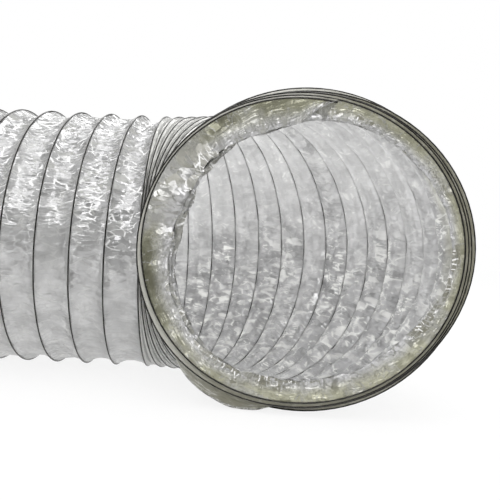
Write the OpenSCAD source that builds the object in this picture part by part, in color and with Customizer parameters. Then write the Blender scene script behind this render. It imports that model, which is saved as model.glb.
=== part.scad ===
// Flexible air duct: crinkled film laminated round one left-hand spring-wire helix.
// The axis leaves the inlet's open end along +X, runs straight, then bends in the plane
// z = 0 until the outlet faces -Y. Wire and film are cut at each turn, where they flex.
// A place along the duct is a turn count: 0 at the inlet collar, counted towards the outlet.

/* [Ends] */
// Inner diameter of the two open ends
bore_d = 203; // [150:1:254]
// Turns of wire bunched together in each end collar
collar_turns = 4.78; // [2.78:1:6.78]
// Distance between the bunched turns of a collar
collar_pitch = 2.4; // [2:0.1:4]

/* [Straight run] */
// Number of wire turns in the straight run
run_turns = 8; // [3:1:12]
// Distance between two turns of the straight run
run_pitch = 24; // [12:1:32]

/* [Bend] */
// Number of wire turns in the bend
bend_turns = 15; // [8:1:16]
// Angle that one turn of the bend adds
turn_angle = 6.3; // [3:0.1:7]
// Distance between two turns on the inside of the bend
inside_pitch = 1.9; // [1.8:0.1:6]

/* [Wire and film] */
// Diameter of the spring wire
wire_d = 1.2; // [0.8:0.1:1.3]
// Depth of the gathered film at the bottom of a fold
film_t = 0.8; // [0.5:0.1:1.5]
// Thickness of the film sleeve in a collar
sleeve_t = 0.5; // [0.4:0.1:1.5]
// How deep the film sags between two wire turns
film_sag = 5; // [2:0.5:9]
// Running clearance between neighbouring pieces
clearance = 0.3; // [0.2:0.05:0.5]

/* [Hidden] */
steps = 18; // sides of one turn, so that each turn lies on a flat side
turns = run_turns + bend_turns;
wire_r = wire_d / 2;
bore_r = bore_d / 2;
side_scale = 1 / cos(180 / steps);
crest_r = (bore_r + sleeve_t) * side_scale; // film at the foot of the wire, at a corner
turn_r = bore_r + sleeve_t + clearance + wire_r; // middle of the wire, at a flat side
coil_r = turn_r * side_scale; // middle of the wire, at a corner
valley_r = crest_r - film_sag;
turn_gap = clearance / 2; // film edge to the middle of the wire that it meets
seam_cut = clearance / (2 * PI * coil_r) / 2; // turns trimmed from each end of a piece
bend_r = (inside_pitch / 2) / tan(turn_angle / 2) + turn_r;
sleeve_start = collar_pitch + clearance;
sleeve_end = collar_turns * collar_pitch + wire_r;
run_x = sleeve_end; // where the run starts, with the inlet's open end at x = 0
bend_x = run_x + run_turns * run_pitch;

film_color = "#c6c7cb";
cuff_color = "#a9a68c";
wire_color = "#2b2b2e";

// Heading of the duct's axis at turn t, and the unit vectors along it and to the inside
function heading(t) = turn_angle * min(max(t - run_turns, 0), bend_turns);
function along(t) = [cos(heading(t)), -sin(heading(t)), 0];
function inward(t) = [-sin(heading(t)), -cos(heading(t)), 0];

// Middle of the duct at turn t
function bend_place(t) = [
  bend_x + bend_r * sin(heading(t)),
  bend_r * (cos(heading(t)) - 1),
  0
];
function axis_place(t) =
  t < 0 ? [run_x + collar_pitch * t, 0, 0]
  : t < run_turns ? [run_x + run_pitch * t, 0, 0]
  : bend_place(t) + collar_pitch * max(t - turns, 0) * along(t);

// Point at turn t of the axis, in the direction that the wire has at turn w
function duct_point(t, w, r, shift = 0) =
  axis_place(t) + shift * along(t)
  - r * (cos(360 * w) * inward(t) + sin(360 * w) * [0, 0, 1]);

// Square section of the wire at turn w, flat side down where the duct lies
function wire_section(w) = [
  duct_point(w, w, coil_r + wire_r, -wire_r),
  duct_point(w, w, coil_r + wire_r, wire_r),
  duct_point(w, w, coil_r - wire_r, wire_r),
  duct_point(w, w, coil_r - wire_r, -wire_r)
];

// Folded section of the film from the wire at turn w to the next turn of wire
function film_section(w) = [
  duct_point(w + 0.5, w, valley_r),
  duct_point(w + 1, w, crest_r, -turn_gap),
  duct_point(w + 0.5, w, valley_r - film_t),
  duct_point(w, w, crest_r, turn_gap)
];

// Turn counts of the rings of a piece, from turn a to turn b
function ring_turns(a, b) = let (whole = ceil((b - a) * steps - 0.001))
  [for (i = [0:whole]) i == 0 ? a + seam_cut : i == whole ? b - seam_cut : a + i / steps];

// Least gap between the wire and its next turn, measured corner to corner
function least_gap(a, b) =
  min([for (i = [0:(b - a) * steps])
    norm(duct_point(a + i / steps + 1, a + i / steps, coil_r)
      - duct_point(a + i / steps, a + i / steps, coil_r))]) - wire_d;

// Two faces between corners a and b of one section and c and d of the next, where the
// crease between them runs from c to b, or from a to d on the other side of a thin fold
function side_faces(a, b, c, d, turned) =
  turned ? [[a, c, d], [a, d, b]] : [[a, c, b], [c, d, b]];

// Solid through a row of four-cornered sections, closed at both ends
module swept(sections) {
  last = len(sections) - 1;
  polyhedron(
    points = [for (s = sections) each s],
    faces = concat(
      [[0, 1, 2], [0, 2, 3]],
      [for (i = [0:last - 1], k = [0:3])
        each side_faces(4 * i + k, 4 * i + (k + 1) % 4,
          4 * i + 4 + k, 4 * i + 4 + (k + 1) % 4, k % 2 == 1)],
      [[4 * last, 4 * last + 2, 4 * last + 1], [4 * last, 4 * last + 3, 4 * last + 2]]
    )
  );
}

// Wire from turn a to turn b, one unbroken tube
module wire(a, b) {
  color(wire_color) swept([for (w = ring_turns(a, b)) wire_section(w)]);
}

// One turn of the film strip, between the wire's turn that ends at i and the next one
module film(i) {
  color(film_color) swept([for (w = ring_turns(i - 1, i)) film_section(w)]);
}

// Short tube of gathered film inside a collar, measured from the collar's first turn
module sleeve() {
  difference() {
    translate([0, 0, sleeve_start])
      cylinder(h = sleeve_end - sleeve_start, r = bore_r + sleeve_t, $fn = 96);
    translate([0, 0, sleeve_start - 1])
      cylinder(h = sleeve_end - sleeve_start + 2, r = bore_r, $fn = 96);
  }
}

module inlet_sleeve() {
  color(film_color) translate([run_x, 0, 0]) rotate([0, -90, 0]) sleeve();
}

module inlet_collar_wire() {
  wire(-collar_turns, 0);
}

module outlet_sleeve() {
  color(cuff_color)
    translate(bend_place(turns)) rotate([0, 0, -heading(turns)]) rotate([0, 90, 0]) sleeve();
}

module outlet_collar_wire() {
  wire(turns, turns + collar_turns);
}

inlet_sleeve();
inlet_collar_wire();
outlet_sleeve();
outlet_collar_wire();
for (i = [1:run_turns]) {
  wire(i - 1, i);
  film(i - 1);
}
for (i = [1:bend_turns]) {
  wire(run_turns + i - 1, run_turns + i);
}
for (i = [1:bend_turns + 1]) {
  film(run_turns + i - 1);
}

echo(least_wire_gap = min(least_gap(-collar_turns, turns + collar_turns - 1)));
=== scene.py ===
import math
from types import SimpleNamespace
import bpy
import numpy as np
from mathutils import Matrix, Vector


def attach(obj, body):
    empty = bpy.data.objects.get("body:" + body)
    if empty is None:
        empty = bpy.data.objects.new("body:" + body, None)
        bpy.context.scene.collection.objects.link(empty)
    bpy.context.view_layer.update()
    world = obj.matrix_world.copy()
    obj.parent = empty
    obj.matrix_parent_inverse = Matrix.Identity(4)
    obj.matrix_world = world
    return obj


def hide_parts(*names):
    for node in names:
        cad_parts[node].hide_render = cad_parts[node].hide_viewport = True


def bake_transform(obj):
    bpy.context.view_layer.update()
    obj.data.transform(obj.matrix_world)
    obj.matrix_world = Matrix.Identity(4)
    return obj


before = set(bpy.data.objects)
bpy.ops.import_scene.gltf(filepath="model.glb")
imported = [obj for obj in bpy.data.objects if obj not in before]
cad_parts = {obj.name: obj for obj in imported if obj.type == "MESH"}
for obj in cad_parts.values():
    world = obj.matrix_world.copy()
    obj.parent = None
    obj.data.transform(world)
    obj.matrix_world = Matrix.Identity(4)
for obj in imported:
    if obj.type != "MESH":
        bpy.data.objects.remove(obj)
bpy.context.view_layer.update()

# the duct's own measures in metres, the same as its solids have
duct = dict(
    runTurns=8, runPitch=0.024,
    bendTurns=15, turnAngle=math.radians(6.3), insidePitch=0.0019,
    collarTurns=4.78, collarPitch=0.0024, halfSolidWire=0.0006,
    wireRadius=0.1029, wireThick=0.00105, filmWidth=0.027, filmThick=0.00025,
)
turns = duct["runTurns"] + duct["bendTurns"]
lastTurn = turns + duct["collarTurns"]
runStart = duct["collarTurns"] * duct["collarPitch"] + duct["halfSolidWire"]
bendRadius = duct["insidePitch"] / 2 / math.tan(duct["turnAngle"] / 2) + duct["wireRadius"]
bodyOrder = ["inlet_collar"] + [f"run_turn_{i}" for i in range(2, duct["runTurns"] + 1)]
bodyOrder += [f"bend_turn_{i}" for i in range(1, duct["bendTurns"] + 1)] + ["outlet_collar"]


def heading(t):
    return duct["turnAngle"] * np.clip(t - duct["runTurns"], 0, duct["bendTurns"])


def alongAxis(t):
    h = heading(t)
    return np.stack([np.cos(h), -np.sin(h), 0 * h], -1)


def inwardAxis(t):
    h = heading(t)
    return np.stack([-np.sin(h), -np.cos(h), 0 * h], -1)


# middle of the duct at turn t, counted from the inlet collar towards the outlet
def axisPlace(t):
    t = np.asarray(t, float)
    h = heading(t)
    straight = np.clip(t, 0, duct["runTurns"]) * duct["runPitch"]
    x = runStart + np.where(t < 0, t * duct["collarPitch"], straight) + bendRadius * np.sin(h)
    place = np.stack([x, bendRadius * (np.cos(h) - 1), 0 * h], -1)
    return place + (np.maximum(t - turns, 0) * duct["collarPitch"])[..., None] * alongAxis(t)


# direction from the duct's axis: 0 at the outer side of the bend, a quarter turn at the bottom
def aroundAxis(t, angle):
    up = np.array([0.0, 0.0, 1.0])
    return -(np.cos(angle)[..., None] * inwardAxis(t) + np.sin(angle)[..., None] * up)


# the inner side of the bend leans towards the outlet, most where the bend starts
lean = dict(most=0.0104, rampStart=7.5, rampEnd=8.5, fadeEnd=23.5)
# radius of the outlet collar's wire against the other turns, as (turn, share) along the wire
collarRing = [
    (21.5, 1.0), (22.5, 1.0), (23.0, 1.02), (23.25, 0.99), (23.5, 1.0), (23.75, 0.985),
    (24.0, 1.045), (24.13, 0.985), (24.25, 0.965), (24.4, 1.015), (24.6, 1.0), (24.75, 0.972),
    (25.0, 1.0185), (25.13, 0.975), (25.25, 0.9615), (25.4, 1.018), (25.6, 1.0), (25.75, 0.966),
    (26.0, 0.9965), (26.13, 0.960), (26.25, 0.953), (26.4, 1.015), (26.6, 0.995), (26.75, 0.943),
    (27.0, 0.9705), (27.13, 0.935), (27.25, 0.9215), (27.37, 0.962), (27.56, 0.982),
    (27.75, 0.9225), (28.0, 0.92),
]


def smoothCurve(t, places):
    x, y = np.array(places).T
    slope = np.gradient(y, x)
    i = np.clip(np.searchsorted(x, t) - 1, 0, len(x) - 2)
    width = x[i + 1] - x[i]
    s = np.clip((t - x[i]) / width, 0, 1)
    return (y[i] * (1 + 2 * s) * (1 - s) ** 2 + y[i + 1] * s * s * (3 - 2 * s)
            + width * (slope[i] * s * (1 - s) ** 2 - slope[i + 1] * s * s * (1 - s)))


# where the wire is, or would be, at turn t and the given angle
def wirePoint(t, angle, scaled=True):
    ramp = np.clip((t - lean["rampStart"]) / (lean["rampEnd"] - lean["rampStart"]), 0, 1)
    fade = np.clip((lean["fadeEnd"] - t) / (lean["fadeEnd"] - lean["rampEnd"]), 0, 1)
    forward = lean["most"] * ramp * ramp * (3 - 2 * ramp) * fade * (1 - np.cos(angle)) / 2
    radius = duct["wireRadius"] * (smoothCurve(t, collarRing) if scaled else 1 + 0 * t)
    return (axisPlace(t) + forward[..., None] * np.array([1.0, 0.0, 0.0])
            + radius[..., None] * aroundAxis(t, angle))


scramble = dict(i=374761393, j=668265263, seed=974711, first=1274126177, second=2246822519)


# one value from 0 to 1 for each cell of a grid
def hashValue(i, j, seed):
    i, j = i.astype(np.int64), j.astype(np.int64)
    n = (i * scramble["i"] + j * scramble["j"] + seed * scramble["seed"]) & 0xFFFFFFFF
    n = ((n ^ (n >> 13)) * scramble["first"]) & 0xFFFFFFFF
    n = ((n ^ (n >> 15)) * scramble["second"]) & 0xFFFFFFFF
    return ((n ^ (n >> 16)) & 0xFFFFFF) / float(0xFFFFFF)


def smoothNoise(a, b, cell, seed):
    a, b = a / cell, b / cell
    i, j = np.floor(a), np.floor(b)
    x, y = a - i, b - j
    x, y = x * x * (3 - 2 * x), y * y * (3 - 2 * y)
    low = hashValue(i, j, seed) * (1 - x) + hashValue(i + 1, j, seed) * x
    high = hashValue(i, j + 1, seed) * (1 - x) + hashValue(i + 1, j + 1, seed) * x
    return (low * (1 - y) + high * y) * 2 - 1


wandering = dict(share=0.26, cells=1.7, seeds=(31, 57), foldSeed=101)


# flat triangles with sharp creases between them, laid out on the unrolled film
def creaseNoise(a, b, cellA, cellB, turn, seed):
    c, s = math.cos(turn), math.sin(turn)
    wander = wandering["share"] * min(cellA, cellB)
    a2 = a + wander * smoothNoise(a, b, wandering["cells"] * cellA, seed + wandering["seeds"][0])
    b2 = b + wander * smoothNoise(a, b, wandering["cells"] * cellB, seed + wandering["seeds"][1])
    p, q = (c * a2 - s * b2) / cellA, (s * a2 + c * b2) / cellB
    i, j = np.floor(p), np.floor(q)
    x, y = p - i, q - j
    h00, h10 = hashValue(i, j, seed), hashValue(i + 1, j, seed)
    h01, h11 = hashValue(i, j + 1, seed), hashValue(i + 1, j + 1, seed)
    rising = hashValue(i, j, seed + wandering["foldSeed"]) > 0.5
    lower = np.where(x + y < 1, h00 + (h10 - h00) * x + (h01 - h00) * y,
                     h11 + (h01 - h11) * (1 - x) + (h10 - h11) * (1 - y))
    upper = np.where(x > y, h00 + (h10 - h00) * x + (h11 - h10) * y,
                     h00 + (h01 - h00) * y + (h11 - h01) * x)
    return np.where(rising, lower, upper) * 2 - 1


# 1 at its middle, falling to 0 on both sides
def mound(x, middle, width, power):
    return np.exp(-np.abs((x - middle) / width) ** power)


# how the film folds between two turns of wire
fold = dict(
    gatheredFrom=0.3, gatheredOver=0.4, hang=2.6, shoulder=0.08, slit=0.25, slitMouth=0.5, pinch=0.8,
    unrolled=0.4, takenUp=2.8, deepest=0.0055, deeperMouth=0.02, shallowest=0.0045,
    uneven=((0.22, 0.045, 3), (0.1, 0.017, 4)), evenMouth=0.6, endTaper=0.04,
)
# the cuff at the mouth is deepest on the inner side, and deep along the bottom
cuff = dict(before=2.5, over=3, depth=0.015, deepestAt=0.4, lowShare=0.42, low=(1.15, 0.85, 4))
# low on the inner side the film of the last turns has slipped out and bulges past the wire
bulge = dict(height=0.0085, around=(2.08, 0.5, 3), along=(23.84, 0.6, 4))
# each layer of crumples has a height, a cell's size along and across the film, a turn and a seed
crumple = dict(
    broad=(0.0011, 0.015, 0.012, 0.5, 11),
    middle=(0.0010, 0.0075, 0.0065, 1.4, 12),
    small=(0.0006, 0.0037, 0.0033, 2.3, 13),
    comb=(0.0005, 0.0032, 0.016, 0.12, 15),
    diagonal=(0.0010, 0.034, 0.008, 0.7, 18),
    mouthPleat=(0.0010, 0.05, 0.0042, 0.03, 16),
    mouthFacet=(0.0008, 0.0065, 0.0055, 0.8, 17),
    foilFacet=(0.0055, 0.02, 0.012, 0.5, 19),
    foldScatter=(0.0011, 0.011, 0.009, 0.9, 22),
)
# how much of the crumpling shows, and where
crushing = dict(
    usual=0.6, aroundBy=0.4, patchBy=0.35, patch=(0.06, 8), mouth=1.1, most=1.3,
    combPatch=(0.03, 14), combGain=2.2, diagonalFrom=0.4, foil=(3.56, 0.4, 2),
    lessMouth=0.6, lessFolded=0.4, sway=0.003, swayCell=(0.05, 21), swayFrom=5, swaySlow=0.01,
    onEdge=1.3, mostOnEdge=0.85,
)


def crumpleLayer(a, b, name):
    height, cellA, cellB, turn, seed = crumple[name]
    return height * creaseNoise(a, b, cellA, cellB, turn, seed)


# how far in the film lies between two turns of wire where it hangs, and where it is pinched
def foldShapes(across, inMouth):
    offMiddle = np.abs(2 * across - 1)
    hanging = 1 - offMiddle ** fold["hang"]
    slit = fold["slit"] + (fold["slitMouth"] - fold["slit"]) * inMouth
    narrow = np.clip(1 - offMiddle / slit, 0, 1) ** fold["pinch"]
    return hanging, fold["shoulder"] * hanging + (1 - fold["shoulder"]) * narrow


def foldDepth(a, spacing, gathered, inMouth, cuffed, bulging, wireTurn):
    depth = 0.5 * np.sqrt(np.maximum(duct["filmWidth"] ** 2 - spacing ** 2, fold["shallowest"] ** 2))
    depth = depth * (1 - fold["takenUp"] * gathered * (1 - gathered))
    # folds that open when the bend straightens stay as shallow as the film hangs when it is open
    depth = np.minimum(depth, fold["deepest"] + fold["deeperMouth"] * inMouth) + cuff["depth"] * cuffed
    uneven = sum(share * smoothNoise(a, a * 0, cell, seed) for share, cell, seed in fold["uneven"])
    depth = depth * (1 + uneven * (1 - fold["evenMouth"] * inMouth))
    depth = depth * (1 - bulging) - bulge["height"] * bulging
    # the first and the last strip start from nothing where the wire ends
    fromEnd = np.minimum(lastTurn - 1 - wireTurn, wireTurn + duct["collarTurns"])
    return depth * np.clip(fromEnd / fold["endTaper"], 0, 1)


def crushedShare(a, b, angle, inMouth):
    crushed = crushing["usual"] + crushing["aroundBy"] * np.sin(2 * angle)
    crushed = crushed + crushing["patchBy"] * smoothNoise(a, b, *crushing["patch"])
    return np.clip(crushed * (1 - inMouth) + crushing["mouth"] * inMouth, 0, crushing["most"])


# height of the crumples, which leave the film's edges on the wire where they are
def crumpleHeight(a, b, rolled, across, crushed, folded, inMouth, foil):
    rough = crumpleLayer(a, b, "broad") + crumpleLayer(a, b, "middle") + crumpleLayer(a, b, "small")
    combs = np.clip(smoothNoise(a, b, *crushing["combPatch"]) * crushing["combGain"], 0, 1)
    rough = rough + combs * (1 - inMouth) * crumpleLayer(a, b, "comb")
    rough = rough + crumpleLayer(a, b, "diagonal") / (crushing["diagonalFrom"] + crushed)
    rough = rough * crushed * (1 - crushing["lessMouth"] * inMouth)
    rough = rough * (1 - crushing["lessFolded"] * folded * (1 - inMouth))
    pleats = crumpleLayer(a, b, "mouthPleat") * (1 - foil) + crumpleLayer(a, b, "foilFacet") * foil
    pleats = pleats + crumpleLayer(a, b, "mouthFacet") * (1 - np.abs(2 * across - 1))
    free = np.sqrt(np.clip(4 * rolled * (1 - rolled), 0, 1))
    return rough * free + pleats * inMouth * free ** 2


# how far folds of gathered film lean and scatter along the duct
def foldShift(a, b, t, angle, gathered, inMouth):
    sway = smoothNoise(angle * duct["wireRadius"] + crushing["swayFrom"], t * crushing["swaySlow"],
                       *crushing["swayCell"])
    scatter = crumpleLayer(a, b, "foldScatter") * (1 - inMouth)
    return gathered ** 2 * (crushing["sway"] * sway + scatter)


# one point of the film, given its place along the duct and round it, with its unrolled place
def filmPoint(t, angle):
    across = (t - angle / (2 * math.pi)) % 1.0
    wireTurn = t - across
    first, second = wirePoint(wireTurn, angle), wirePoint(wireTurn + 1, angle)
    spacing = np.linalg.norm(second - first, axis=-1)
    gathered = np.clip(1 - spacing / duct["filmWidth"], 0, 1)
    inMouth = np.clip((t - turns + cuff["before"]) / cuff["over"], 0, 1)
    innerSide = (1 - np.cos(angle - cuff["deepestAt"])) / 2
    cuffed = inMouth * (innerSide ** 2 + cuff["lowShare"] * mound(angle, *cuff["low"]))
    bulging = mound(angle, *bulge["around"]) * mound(t, *bulge["along"])
    folded = np.clip((gathered - fold["gatheredFrom"]) / fold["gatheredOver"], 0, 1) * (1 - bulging)
    hanging, pinched = foldShapes(across, inMouth)
    sag = hanging * (1 - folded) + pinched * folded
    # most of a gathered strip's width lies in its fold
    rolled = np.where(across < 0.5, pinched / 2, 1 - pinched / 2)
    unrolling = folded * (fold["unrolled"] + (1 - fold["unrolled"]) * inMouth)
    rolled = across * (1 - unrolling) + rolled * unrolling
    a = wireTurn * 2 * math.pi * duct["wireRadius"]
    b = rolled * (duct["filmWidth"] + 2 * cuff["depth"] * cuffed)
    depth = foldDepth(a, spacing, gathered, inMouth, cuffed, bulging, wireTurn)
    crushed = crushedShare(a, b, angle, inMouth)
    foil = inMouth * mound(angle, *crushing["foil"])
    rough = crumpleHeight(a, b, rolled, across, crushed, folded, inMouth, foil)
    shift = foldShift(a, b, t, angle, gathered, inMouth) * sag
    # gathered film stands on edge, so its crumples push along the duct
    onEdge = np.clip(gathered * crushing["onEdge"], 0, crushing["mostOnEdge"])
    point = first + (second - first) * across[..., None]
    point = point + (rough * (1 - onEdge) - depth * sag)[..., None] * aroundAxis(t, angle)
    point = point + (shift + rough * onEdge)[..., None] * alongAxis(t)
    return point, a, b, dict(gathered=gathered, mouth=inMouth, foil=foil, crushed=crushed,
                             nearWire=np.abs(2 * rolled - 1), shaded=inMouth * innerSide ** 4 * (1 - foil))


def newPiece(name, points, faces, material, uv=None, values=None, normals=None):
    mesh = bpy.data.meshes.new(name)
    mesh.from_pydata([tuple(p) for p in points], [], [tuple(f) for f in faces])
    mesh.update()
    loopVerts = np.empty(len(mesh.loops), np.int32)
    mesh.loops.foreach_get("vertex_index", loopVerts)
    if uv is not None:
        layer = mesh.uv_layers.new(name="unrolled")
        layer.data.foreach_set("uv", np.asarray(uv, np.float32)[loopVerts].ravel())
    for key, value in (values or {}).items():
        layer = mesh.attributes.new(key, "FLOAT", "POINT")
        layer.data.foreach_set("value", np.asarray(value, np.float32).ravel())
    mesh.shade_smooth()
    if normals is not None:
        mesh.normals_split_custom_set_from_vertices([tuple(n) for n in normals])
    mesh.materials.append(material)
    piece = bpy.data.objects.new(name, mesh)
    bpy.context.collection.objects.link(piece)
    return piece


# faces between rows of points, where each row is closed to a ring
def ringFaces(rows, perRow):
    k, c = np.meshgrid(np.arange(rows), np.arange(perRow), indexing="ij")
    n = (c + 1) % perRow
    corners = (k * perRow + c, k * perRow + n, (k + 1) * perRow + n, (k + 1) * perRow + c)
    return np.stack(corners, -1).reshape(-1, 4)


filmGrid = dict(
    around=480, rows=20, outletRows=(76, 22), inletRows=(22, 70),
    crowd=0.55, crowdFrom=7.5, crowdMouth=0.6, crowdFade=6, unitsPerMetre=10,
)
around = filmGrid["around"]
angles = np.linspace(0, 2 * math.pi, around, endpoint=False)


# rows of film between two places along the duct, crowded where it folds except at the two ends
def filmRows(start, end, rows, crowd=0.0):
    t = np.linspace(start + 0 * angles, end + 0 * angles, rows + 1)
    fade = np.clip((t - t[0]) * filmGrid["crowdFade"], 0, 1)
    fade = fade * np.clip((t[-1] - t) * filmGrid["crowdFade"], 0, 1)
    return t + crowd * fade * np.sin(2 * math.pi * t - angles) / (2 * math.pi)


# a closed shell of film over the given rows
def filmShell(name, t, material):
    rows = len(t) - 1
    # one more row at each end, so that neighbouring shells shade alike where they meet
    t = np.concatenate([2 * t[:1] - t[1:2], t, 2 * t[-1:] - t[-2:-1]])
    turned = np.broadcast_to(angles, t.shape)
    middle, a, b, marks = filmPoint(t, turned)
    alongRow = middle[2:] - middle[:-2]
    aroundRow = np.roll(middle, -1, 1) - np.roll(middle, 1, 1)
    normal = np.cross(aroundRow[1:-1], alongRow)
    normal /= np.linalg.norm(normal, axis=-1, keepdims=True) + 1e-12
    middle, a, b = middle[1:-1], a[1:-1], b[1:-1]
    flip = np.sign((normal * aroundAxis(t[1:-1], turned[1:-1])).sum(-1).mean())
    normal = normal * flip
    half = duct["filmThick"] / 2
    points = np.concatenate([middle + half * normal, middle - half * normal]).reshape(-1, 3)
    count = (rows + 1) * around
    outer = ringFaces(rows, around)
    if flip < 0:
        outer = outer[:, ::-1]
    faces = [outer, outer[:, ::-1] + count]
    c = np.arange(around)
    for row, atEnd in ((0, False), (rows, True)):
        here, beside = row * around + c, row * around + (c + 1) % around
        rim = np.stack([here, count + here, count + beside, beside], -1)
        faces.append(rim[:, ::-1] if atEnd ^ (flip < 0) else rim)
    uv = np.stack([a, b], -1).reshape(-1, 2) * filmGrid["unitsPerMetre"]
    values = {key: np.tile(value[1:-1].ravel(), 2) for key, value in marks.items()}
    values["inside"] = np.repeat([0.0, 1.0], count)
    return newPiece(name, points, np.concatenate(faces), material, np.concatenate([uv, uv]), values,
                    np.concatenate([normal.reshape(-1, 3), -normal.reshape(-1, 3)]))


wireShape = dict(steps=96, sides=8, fewestSteps=8, probe=1e-4)


def wirePlace(t):
    return wirePoint(t, 2 * math.pi * t)


# round wire from one turn to another, closed at both ends
def wireTube(name, startTurn, endTurn, material):
    count = max(wireShape["fewestSteps"], int(round((endTurn - startTurn) * wireShape["steps"])))
    t = np.linspace(startTurn, endTurn, count + 1)
    ahead = wirePlace(t + wireShape["probe"]) - wirePlace(t - wireShape["probe"])
    ahead /= np.linalg.norm(ahead, axis=-1, keepdims=True)
    side = np.cross(ahead, aroundAxis(t, 2 * math.pi * t))
    side /= np.linalg.norm(side, axis=-1, keepdims=True)
    up = np.cross(side, ahead)
    sides = wireShape["sides"]
    turn = (np.arange(sides) * 2 * math.pi / sides)[None, :, None]
    ring = np.cos(turn) * up[:, None, :] + np.sin(turn) * side[:, None, :]
    points = wirePlace(t)[:, None, :] + duct["wireThick"] / 2 * ring
    faces = [tuple(f) for f in ringFaces(count, sides)[:, [0, 3, 2, 1]]]
    faces += [tuple(range(sides)), tuple(count * sides + i for i in reversed(range(sides)))]
    return newPiece(name, points.reshape(-1, 3), faces, material)


class Socket:
    def __init__(self, tree, link):
        self.tree, self.link = tree, link

    def node(self, kind, settings=None, values=None, out=0):
        made = self.tree.nodes.new(kind)
        for key, value in (settings or {}).items():
            setattr(made, key, value)
        for key, value in (values or {}).items():
            if isinstance(value, Socket):
                self.tree.links.new(value.link, made.inputs[key])
            else:
                made.inputs[key].default_value = value
        return Socket(self.tree, made.outputs[out])

    # another output of the same node
    def also(self, out):
        return Socket(self.tree, self.link.node.outputs[out])

    def into(self, target, name):
        self.tree.links.new(self.link, target.inputs[name])

    def math(self, operation, *others):
        return self.node("ShaderNodeMath", dict(operation=operation), dict(enumerate((self,) + others)))

    def vector(self, operation, *others, out="Vector"):
        values = dict(enumerate((self,) + others))
        return self.node("ShaderNodeVectorMath", dict(operation=operation), values, out)

    def __add__(self, other):
        return self.math("ADD", other)

    def __sub__(self, other):
        return self.math("SUBTRACT", other)

    def __rsub__(self, other):
        return self.node("ShaderNodeMath", dict(operation="SUBTRACT"), {0: other, 1: self})

    def __mul__(self, other):
        return self.math("MULTIPLY", other)

    __radd__ = __add__
    __rmul__ = __mul__

    def orMore(self, other):
        return self.math("MAXIMUM", other)

    def clamp(self):
        return self.node("ShaderNodeClamp", None, {"Value": self})

    def ramp(self, low, high):
        return self.node("ShaderNodeMapRange", dict(interpolation_type="SMOOTHSTEP"),
                         {"Value": self, "From Min": low, "From Max": high})

    def mix(self, first, second):
        return self.node("ShaderNodeMix", dict(data_type="RGBA"), {0: self, 6: first, 7: second}, 2)

    def mixShaders(self, first, second):
        return self.node("ShaderNodeMixShader", None, {0: self, 1: first, 2: second})

    def part(self, axis):
        return self.node("ShaderNodeSeparateXYZ", None, {0: self}, axis)

    def turned(self, turn, stretch):
        return self.node("ShaderNodeMapping", None, {0: self, 2: (0, 0, turn), 3: (1, stretch, 1)})

    # noise and cells over this socket's own coordinates
    def noise(self, scale, detail=2.0, roughness=0.5, flat=True, out="Fac"):
        return self.node("ShaderNodeTexNoise", dict(noise_dimensions="2D" if flat else "3D"),
                         {"Vector": self, "Scale": scale, "Detail": detail, "Roughness": roughness}, out)

    def cells(self, scale, detail=0.0, feature="F1", out="Distance"):
        return self.node("ShaderNodeTexVoronoi", dict(voronoi_dimensions="2D", feature=feature),
                         {"Vector": self, "Scale": scale, "Detail": detail}, out)

    def cellEdges(self, scale):
        return self.cells(scale, feature="DISTANCE_TO_EDGE")


def newMaterial(name):
    material = bpy.data.materials.new(name)
    material.use_nodes = True
    tree = material.node_tree
    shader = tree.nodes["Principled BSDF"]
    start = Socket(tree, tree.nodes.new("ShaderNodeTexCoord").outputs["Object"])
    return material, tree, shader, start


def rgb(r, g, b):
    def linear(v):
        v /= 255
        return v / 12.92 if v <= 0.04045 else ((v + 0.055) / 1.055) ** 2.4
    return (linear(r), linear(g), linear(b), 1)


filmLook = dict(
    silver=rgb(220, 220, 221), shade=rgb(190, 190, 191), cream=rgb(242, 242, 236),
    # the inner ply's colours are lighter than the outside's: partly its own paler face, partly painted light
    # for the dim hollow
    inner=rgb(242, 242, 243), innerShade=rgb(228, 228, 229),
    # the darkest olive is painted shade on the cuff's inner side
    olive=rgb(232, 231, 208), darkOlive=rgb(212, 211, 188), deepOlive=rgb(80, 80, 58),
    # the rim's darker colour is painted shade on the mouth's outer side
    foil=rgb(228, 228, 225), rim=rgb(186, 185, 177), rimOuter=rgb(135, 133, 118),
    # the white of the painted crease highlights, and the clear colour of light that passes
    crease=rgb(253, 253, 252), clear=rgb(252, 252, 250),
    roughLow=0.06, roughHigh=0.16, metal=0.85, metalMouth=0.5, metalStrip=0.65,
    # share of light that passes, and what adds to it or takes from it
    through=0.5, throughMouth=0.5, throughShard=0.96, throughSmooth=0.22, throughStrip=-0.22,
    opaqueOutside=0.12, clearerInside=0.5, throughDull=0.4, throughRubbed=0.8,
    # bumps: flat facets, and finer combs
    facets=0.5, facetDepth=0.0013, creases=0.5, creaseDepth=0.0010,
    # each layer of facets: turn, stretch, cells in a unit, weight
    layers=((0.9, 0.35, 15.0, 50.0), (-0.6, 0.4, 24.0, 55.0), (0.3, 0.35, 40.0, 55.0)),
    patches=(6.0, 4.0, 0.6), spots=3.1, thick=11.0, wander=9.0, wanderBy=0.03,
    comb=(34.0, 1.0), combDrawn=(1, 0.22, 0), hoops=(30.0, 1.0), hoopDrawn=(0.15, 1, 0),
    pucker=38.0, puckerDrawn=(1, 0.2, 0), streaks=26.0, dents=22.0, dentTwist=0.16, dentTurned=(0.5, 0.45),
)
# how strongly each mark shows
filmShare = dict(
    stripLeast=0.3, stripSmooth=0.9, rimSmooth=0.5, foilCrushed=0.4, leastFacets=0.2, byWire=0.8,
    streaks=0.8, faint=0.4, faintInside=0.25, slivers=0.6, dents=0.55, cream=0.7, bareSpots=0.5,
    deepLeast=0.4, whitened=0.85,
)
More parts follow.
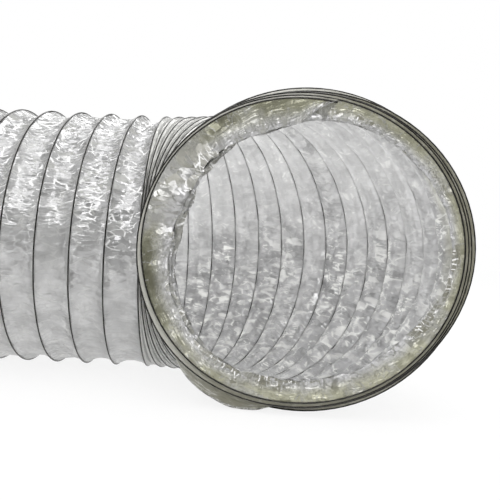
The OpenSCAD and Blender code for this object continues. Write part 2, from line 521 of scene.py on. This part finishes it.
# the values between which each mask goes from nothing to full
filmLimit = dict(
    stripGathered=(0.3, 0.75), stripWire=(0.2, 0.6), rimWire=(0.3, 0.7), combSpots=(0.45, 0.62),
    creaseLine=(0.01, 0.1), longThick=(0.54, 0.58), shortPatches=(0.55, 0.6),
    barLine=(0.2, 0.32), barSpots=(0.56, 0.61), barThick=(0.46, 0.52), whiteCrushed=(0.1, 0.6),
    streakLine=(0.01, 0.08), streakPatches=(0.42, 0.5), streakWire=(0.45, 0.8), mouthEdge=(0.6, 1.0),
    faintThick=(0.48, 0.56), sliver=(0.44, 0.56), dentLine=(0.08, 0.4), dentCells=(0.6, 0.7),
    dentPatches=(0.35, 0.6), rubbedThick=(0.48, 0.44), rubbedPatches=(0.46, 0.41),
    rubbedCrushed=(0.2, 0.7), bright=(0.2, 1.1), shardCrushed=(0.3, 0.9), tone=(0.35, 0.65),
    oliveTone=(0.38, 0.55), bareSpots=(0.5, 0.6), bareFoil=(0.3, 0.8), deepSpots=(0.6, 0.4),
    bandMouth=(0.1, 0.9), bandWire=(0.1, 0.75), rimTone=(0.05, 0.3),
)


def limited(mark, name):
    return mark.ramp(*filmLimit[name])


# what the film's mesh says of each place, with the noises that its marks follow
def filmMarks(start):
    names = ("gathered", "mouth", "foil", "crushed", "nearWire", "shaded", "inside")
    at = SimpleNamespace(**{
        name: start.node("ShaderNodeAttribute", dict(attribute_name=name), out="Fac") for name in names})
    at.uv = start.node("ShaderNodeUVMap", dict(uv_map="unrolled"))
    at.patches = at.uv.noise(*filmLook["patches"])
    at.spots = at.uv.noise(filmLook["spots"])
    at.thick = at.uv.noise(filmLook["thick"])
    at.wander = at.uv.noise(filmLook["wander"], 0.0, out="Color")
    at.bent = at.wander.vector("MULTIPLY_ADD", (filmLook["wanderBy"], filmLook["wanderBy"], 0), at.uv)
    # gathered film keeps smooth on the outside, and so does the film by the mouth's wire
    byWire = limited(at.nearWire, "stripWire") * (1 - filmShare["stripLeast"]) + filmShare["stripLeast"]
    at.strip = limited(at.gathered, "stripGathered") * (1 - at.inside) * byWire
    byRim = at.mouth * limited(at.nearWire, "rimWire") * filmShare["rimSmooth"]
    at.crushed = at.crushed * (1 - at.strip * filmShare["stripSmooth"])
    at.crushed = at.crushed * (1 - byRim + at.foil * filmShare["foilCrushed"])
    return at


# crinkles: flat facets of long wandering cells, with creases between them
def filmFacets(at):
    at.facets, at.layers = 0, []
    for turn, stretch, scale, weight in filmLook["layers"]:
        turned = at.bent.turned(turn, stretch)
        cell = turned.cells(scale, out="Position")
        tint = cell.also("Color")
        tilt = tint.vector("SUBTRACT", (0.5, 0.5, 0.5))
        slope = turned.vector("SUBTRACT", cell).vector("DOT_PRODUCT", tilt, out="Value")
        at.facets = slope * weight + at.facets
        at.layers.append((tint, turned.cellEdges(scale)))
    at.facets = at.facets * (at.crushed + filmShare["leastFacets"])
    comb = at.bent.vector("MULTIPLY", filmLook["combDrawn"]).cells(*filmLook["comb"])
    at.hooped = at.bent.vector("MULTIPLY", filmLook["hoopDrawn"])
    hoops = at.hooped.cells(*filmLook["hoops"])
    at.combed = comb * limited(at.spots, "combSpots") * (1 - at.mouth) + hoops * at.mouth * (1 - at.foil)


# painted light on the film: white crease lines and outer white lines as painted highlights, glints that let
# more light through, and facets that let less light through as painted shade
def filmWear(at):
    (firstTint, firstShade, longEdge), (secondTint, secondShade, shortEdge) = (
        (tint.part("X"), tint.part("Y"), 1 - limited(edge, "creaseLine")) for tint, edge in at.layers[:2])
    white = longEdge * limited(at.thick, "longThick")
    white = white.orMore(shortEdge * limited(at.patches, "shortPatches"))
    # short bars stacked along the strip, painted highlights where the film has puckered
    pucker = at.bent.vector("MULTIPLY", filmLook["puckerDrawn"]).cellEdges(filmLook["pucker"])
    bars = limited(pucker, "barLine") * limited(at.spots, "barSpots") * limited(at.thick, "barThick")
    white = white.orMore(bars) * limited(at.crushed, "whiteCrushed")
    # painted highlights along long creases that run round the mouth
    streaks = 1 - limited(at.hooped.cellEdges(filmLook["streaks"]), "streakLine")
    streaks = streaks * limited(at.patches, "streakPatches")
    streaks = streaks * (1 - limited(at.nearWire, "streakWire") * filmShare["byWire"])
    streaks = streaks * limited(at.mouth, "mouthEdge") * (1 - at.foil) * filmShare["streaks"]
    at.white = white.orMore(streaks)
    # faint long creases outside the mouth, painted highlights that let more light through
    faint = longEdge * limited(at.thick, "faintThick") * (1 - at.mouth) * (1 - at.strip)
    faint = faint * (filmShare["faint"] - at.inside * filmShare["faintInside"])
    # painted glints: slivers where facets of two layers overlap
    sliver = limited(firstTint * secondTint, "sliver")
    sliver = sliver * (firstShade * filmShare["slivers"] + secondShade * filmShare["slivers"])
    # small painted glints, except where the film keeps smooth
    twisted = at.wander.vector("MULTIPLY_ADD", (filmLook["dentTwist"], filmLook["dentTwist"], 0), at.uv)
    dented = twisted.turned(*filmLook["dentTurned"]).cells(filmLook["dents"])
    dents = (1 - limited(dented, "dentLine")) * limited(secondShade, "dentCells")
    dents = dents * limited(at.patches, "dentPatches") * filmShare["dents"] * (1 - at.strip)
    at.shards = sliver.orMore(at.white) * limited(at.crushed, "shardCrushed")
    at.shards = at.shards.orMore(dents).orMore(faint)
    # on the outside other creases get painted white highlights
    rubbed = longEdge * limited(at.thick, "rubbedThick")
    rubbed = rubbed.orMore(shortEdge * limited(at.patches, "rubbedPatches"))
    at.rubbed = rubbed * (1 - at.inside) * limited(at.crushed, "rubbedCrushed")
    # painted shade: some facets let less light through, dimmer than the rest
    at.dull = 1 - limited(firstTint + secondTint, "bright")


# the inner ply's tones, silver in the duct and olive at the mouth, mixed as colours or as shaders; their
# darker patches are painted reflections, and the cuff's inner side gets painted shade
def innerTones(at, tones, mix):
    # darker patches of each tone are painted reflections of the crinkles
    silver = mix(limited(at.patches, "tone"), tones["innerShade"], tones["inner"])
    olive = mix(limited(at.patches, "oliveTone"), tones["darkOlive"], tones["olive"])
    bare = (limited(at.spots, "bareSpots") * filmShare["bareSpots"] + limited(at.foil, "bareFoil")).clamp()
    olive = mix(bare, olive, tones["foil"])
    # painted shade on the cuff's inner side, strongest where the mesh marks it shaded
    deep = limited(at.spots, "deepSpots") * (1 - filmShare["deepLeast"]) + filmShare["deepLeast"]
    olive = mix(at.shaded * deep, olive, tones["deepOlive"])
    return mix(limited(at.mouth, "bandMouth") * limited(at.nearWire, "bandWire"), silver, olive)


def filmColour(at):
    look = filmLook
    # the outside's silver with darker patches, painted reflections of the crinkles
    silver = limited(at.patches, "tone").mix(look["shade"], look["silver"])
    # gathered strips are painted a paler cream: partly their own tint, partly painted light for their shaded
    # grooves
    cream = (at.strip * filmShare["cream"]).mix(silver, look["cream"])
    # the rim's film is painted darker on the outer side of the mouth, painted shade
    rim = limited(at.shaded + at.foil, "rimTone").mix(look["rimOuter"], look["rim"])
    outside = limited(at.mouth, "mouthEdge").mix(cream, rim)
    colour = at.inside.mix(outside, innerTones(at, look, Socket.mix))
    # painted highlights: white crease lines and the outer white lines whiten the colour
    return (at.white * filmShare["whitened"]).orMore(at.rubbed).mix(colour, look["crease"])


# share of the light that passes through the film
def filmThrough(at):
    look = filmLook
    through = at.mouth * (look["throughMouth"] - look["through"]) + look["through"]
    clearer = at.inside.math("MULTIPLY_ADD", look["clearerInside"], -look["opaqueOutside"])
    through = through + clearer * (1 - at.mouth) * at.crushed
    smooth = look["throughSmooth"] * (1 - at.crushed).clamp() * (1 - at.mouth)
    # dimmed facets let less light through, painted shade
    through = through * (1 - at.dull * at.crushed * look["throughDull"]) + smooth
    # painted glints let most light through, gathered strips less
    through = through + (look["throughShard"] - through) * at.shards + at.strip * look["throughStrip"]
    return through * (1 - at.rubbed * look["throughRubbed"])


def makeFilm():
    material, tree, shader, start = newMaterial("crinkled metallised film")
    look = filmLook
    at = filmMarks(start)
    filmFacets(at)
    filmWear(at)
    filmColour(at).into(shader, "Base Color")
    (at.spots * (look["roughHigh"] - look["roughLow"]) + look["roughLow"]).into(shader, "Roughness")
    metal = at.mouth * (look["metalMouth"] - look["metal"]) + look["metal"]
    ((metal - at.strip * look["metalStrip"]) * (1 - at.rubbed)).into(shader, "Metallic")
    fine = start.node("ShaderNodeBump", None, {
        "Strength": look["creases"], "Distance": look["creaseDepth"], "Height": at.combed})
    bump = start.node("ShaderNodeBump", None, {
        "Strength": look["facets"], "Distance": look["facetDepth"], "Height": at.facets, "Normal": fine})
    bump.into(shader, "Normal")
    glows = {tone: start.node("ShaderNodeBsdfTranslucent", None, {"Color": look[tone], "Normal": bump})
             for tone in ("innerShade", "inner", "darkOlive", "olive", "foil", "deepOlive", "clear")}
    # the light that passes is clear white outside and in the painted glints, the inner ply's tones elsewhere
    # inside
    glow = (at.inside * (1 - at.shards)).mixShaders(glows["clear"], innerTones(at, glows, Socket.mixShaders))
    both = filmThrough(at).mixShaders(Socket(tree, shader.outputs[0]), glow)
    both.into(tree.nodes["Material Output"], "Surface")
    return material


wireLook = dict(
    dark=rgb(40, 39, 37), worn=rgb(72, 70, 65), scaleSize=(260.0, 3.0), wornFrom=(0.45, 0.75),
    rough=0.32, roughBy=0.2, metal=0.85, coat=0.35, coatRough=0.2,
)


def makeWire():
    material, tree, shader, start = newMaterial("dark drawn spring wire")
    scale = start.noise(*wireLook["scaleSize"], flat=False)
    scale.ramp(*wireLook["wornFrom"]).mix(wireLook["dark"], wireLook["worn"]).into(shader, "Base Color")
    (scale * wireLook["roughBy"] + wireLook["rough"]).into(shader, "Roughness")
    shader.inputs["Metallic"].default_value = wireLook["metal"]
    shader.inputs["Coat Weight"].default_value = wireLook["coat"]
    shader.inputs["Coat Roughness"].default_value = wireLook["coatRough"]
    return material


film, wire = makeFilm(), makeWire()
print("materials made")


windowShare = 0.98


# where a joint's blend starts and ends: most of the way to the slice's nearer end
def windowAt(joint, clear):
    t = np.array([joint, joint - 0.5, joint + 0.5], float)
    outer, inner = wirePoint(t, 0 * t, False), wirePoint(t, 0 * t + math.pi, False)
    middle = (outer[0] + inner[0]) / 2
    ahead = np.cross(inner[0] - outer[0], (0, 0, 1))
    ahead *= np.sign(ahead @ alongAxis(t[0])) / np.linalg.norm(ahead)
    nearest = min(abs((point - middle) @ ahead) for side in (outer, inner) for point in side[1:])
    reach = windowShare * nearest - clear
    return tuple(middle - reach * ahead), tuple(middle + reach * ahead)


def nodeNumber(prefix, index):
    if index <= duct["runTurns"]:
        return f"run_{prefix}_{index}"
    return f"bend_{prefix}_{index - duct['runTurns']}"


# one slice of film and of wire for each joint, from half a turn before it to half a turn after
for joint in range(1, turns + 1):
    crowd = filmGrid["crowd"] * np.clip(joint - filmGrid["crowdFrom"], 0, 1) * (1 - np.cos(angles)) / 2
    skin = filmShell(f"film_turn_{joint}", filmRows(joint - 0.5, joint + 0.5, filmGrid["rows"], crowd), film)
    coil = wireTube(f"wire_turn_{joint}", joint - 0.5, joint + 0.5, wire)
    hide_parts(nodeNumber("film", joint + 1))
    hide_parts(nodeNumber("wire", joint))
    # the wire's window stops half its thickness shorter at each end, so that its whole thickness would stay
    # out of a part that bends; the windows are not used further here
    for piece, clear in ((skin, 0.0), (coil, duct["wireThick"] / 2)):
        start, end = windowAt(joint, clear)
        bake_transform(piece)
print("turns made")

# the film of each collar ends where its wire does, with rows that line up across that end
firstTurn = -duct["collarTurns"]
leastEnd = 0.02  # turns of film left where the end is cut shortest
seam = (lastTurn % 1.0) * 2 * math.pi
endTurn = np.floor(lastTurn) + angles / (2 * math.pi) - (angles > seam)
firstPart = filmRows(turns + 0.5, lastTurn - 1, filmGrid["outletRows"][0], filmGrid["crowdMouth"])
endTurn = np.maximum(endTurn, lastTurn - 1 + leastEnd)
lastPart = filmRows(lastTurn - 1, endTurn, filmGrid["outletRows"][1])
outletSkin = filmShell("outlet_film", np.concatenate([firstPart[:-1], lastPart]), film)
outletCoil = wireTube("outlet_wire", turns + 0.5, lastTurn, wire)
startSeam = (firstTurn % 1.0) * 2 * math.pi
startTurn = np.floor(firstTurn) + angles / (2 * math.pi) + (angles < startSeam)
startTurn = np.minimum(startTurn, firstTurn + 1 - leastEnd)
firstPart = filmRows(startTurn, firstTurn + 1, filmGrid["inletRows"][0])
lastPart = filmRows(firstTurn + 1, 0.5, filmGrid["inletRows"][1])
inletSkin = filmShell("inlet_film", np.concatenate([firstPart[:-1], lastPart]), film)
inletCoil = wireTube("inlet_wire", firstTurn, 0.5, wire)
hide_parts("outlet_sleeve")
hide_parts("outlet_collar_wire")
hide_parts("inlet_sleeve", "run_film_1")
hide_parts("inlet_collar_wire")
for piece, body, slot in ((outletSkin, "outlet_collar", "film"), (outletCoil, "outlet_collar", "wire"),
                          (inletSkin, "inlet_collar", "film"), (inletCoil, "inlet_collar", "wire")):
    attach(piece, body)
print("collars made")

stage = dict(
    floorSize=6.0, floorPlace=(0.2, 0, -0.1036), floorColour=(0.95, 0.95, 0.95, 1), floorRough=0.9,
    ownWhite=0.84, mirroredWhite=0.15, tableEdge=(0.2, 0.4),
)


def makeFloor():
    bpy.ops.object.select_all(action="DESELECT")
    bpy.ops.mesh.primitive_plane_add(size=stage["floorSize"], location=stage["floorPlace"])
    floor = bpy.context.object
    floor.name = "floor"
    material, tree, shader, start = newMaterial("pale floor")
    shader.inputs["Base Color"].default_value = stage["floorColour"]
    shader.inputs["Roughness"].default_value = stage["floorRough"]
    shader.inputs["Specular IOR Level"].default_value = 0.0
    camera = start.node("ShaderNodeLightPath", out="Is Camera Ray")
    glossy = camera.also("Is Glossy Ray")
    seen = (camera + glossy + camera.also("Is Transmission Ray")).clamp() * stage["ownWhite"]
    # mirrored in the film, the floor ends where a table would, towards the camera
    mirrored = glossy * (start.part("Y") * -1).ramp(*stage["tableEdge"])
    white, dim = (start.node("ShaderNodeEmission", None, {"Color": (1, 1, 1, 1), "Strength": strength})
                  for strength in (1.0, stage["mirroredWhite"]))
    both = seen.mixShaders(Socket(tree, shader.outputs[0]), mirrored.mixShaders(white, dim))
    both.into(tree.nodes["Material Output"], "Surface")
    floor.data.materials.append(material)


# levels of the world for the camera, for what the film mirrors and for other light
studio = dict(
    level=1.0, backdrop=1.0, softbox=0.79, behindCamera=0.10,
    darkSide=(0.1, 0.7), darkHigh=(0.12, 0.5),
)


def makeWorld():
    world = bpy.data.worlds.new("studio")
    world.use_nodes = True
    tree = world.node_tree
    start = Socket(tree, tree.nodes.new("ShaderNodeTexCoord").outputs["Generated"])
    camera = start.node("ShaderNodeLightPath", out="Is Camera Ray")
    high = start.part("Z").math("ABSOLUTE")
    dark = (start.part("Y") * -1).ramp(*studio["darkSide"]) * (1 - high.ramp(*studio["darkHigh"]))
    mirrored = dark * (studio["behindCamera"] - studio["softbox"]) + studio["softbox"]
    seen = (camera + camera.also("Is Transmission Ray")).clamp()
    glossy = camera.also("Is Glossy Ray") * (1 - seen)
    level = seen * studio["backdrop"] + glossy * mirrored + (1 - seen - glossy) * studio["level"]
    level.into(tree.nodes["Background"], "Strength")
    tree.nodes["Background"].inputs["Color"].default_value = (1, 1, 1, 1)
    bpy.context.scene.world = world


lamps = {
    "overhead softbox": dict(place=(0.05, -0.40, 0.95), target=(0.2, -0.05, 0), size=(1.2, 0.9), power=3.5),
    "front softbox": dict(place=(0.25, -1.25, 0.75), target=(0.25, 0, 0), size=(1.0, 0.5), power=3.2),
    "back softbox": dict(place=(0.15, 0.7, 0.9), target=(0.2, 0, 0), size=(0.8, 0.4), power=3),
}


def makeLamp(name, place, target, size, power):
    bpy.ops.object.light_add(type="AREA", location=place)
    lamp = bpy.context.object
    lamp.name = name
    lamp.data.shape = "RECTANGLE"
    lamp.data.size, lamp.data.size_y = size
    lamp.data.energy = power
    aim = Vector(target) - Vector(place)
    lamp.rotation_euler = aim.to_track_quat("-Z", "Y").to_euler()


eyeAt = dict(place=(0.2928, -0.5378, 0.0065), yaw=-0.0038, pitch=0.0181, roll=0.0506,
             lens=46.05, sensor=36, nearest=0.01)


def makeCamera():
    cy, sy = math.cos(eyeAt["yaw"]), math.sin(eyeAt["yaw"])
    ahead, right, up = Vector((sy, cy, 0)), Vector((cy, -sy, 0)), Vector((0, 0, 1))
    cp, sp = math.cos(eyeAt["pitch"]), math.sin(eyeAt["pitch"])
    look, tall = ahead * cp - up * sp, up * cp + ahead * sp
    cr, sr = math.cos(eyeAt["roll"]), math.sin(eyeAt["roll"])
    side, top = right * cr + tall * sr, tall * cr - right * sr
    data = bpy.data.cameras.new("camera")
    data.lens, data.sensor_width, data.sensor_fit = eyeAt["lens"], eyeAt["sensor"], "HORIZONTAL"
    data.clip_start = eyeAt["nearest"]
    eye = bpy.data.objects.new("camera", data)
    bpy.context.collection.objects.link(eye)
    rows = [(side[i], top[i], -look[i], eyeAt["place"][i]) for i in range(3)]
    eye.matrix_world = Matrix(rows + [(0, 0, 0, 1)])
    bpy.context.scene.camera = eye


makeFloor()
makeWorld()
for name, lamp in lamps.items():
    makeLamp(name, **lamp)
makeCamera()
bpy.context.scene.view_settings.view_transform = "Standard"
print("stage made")
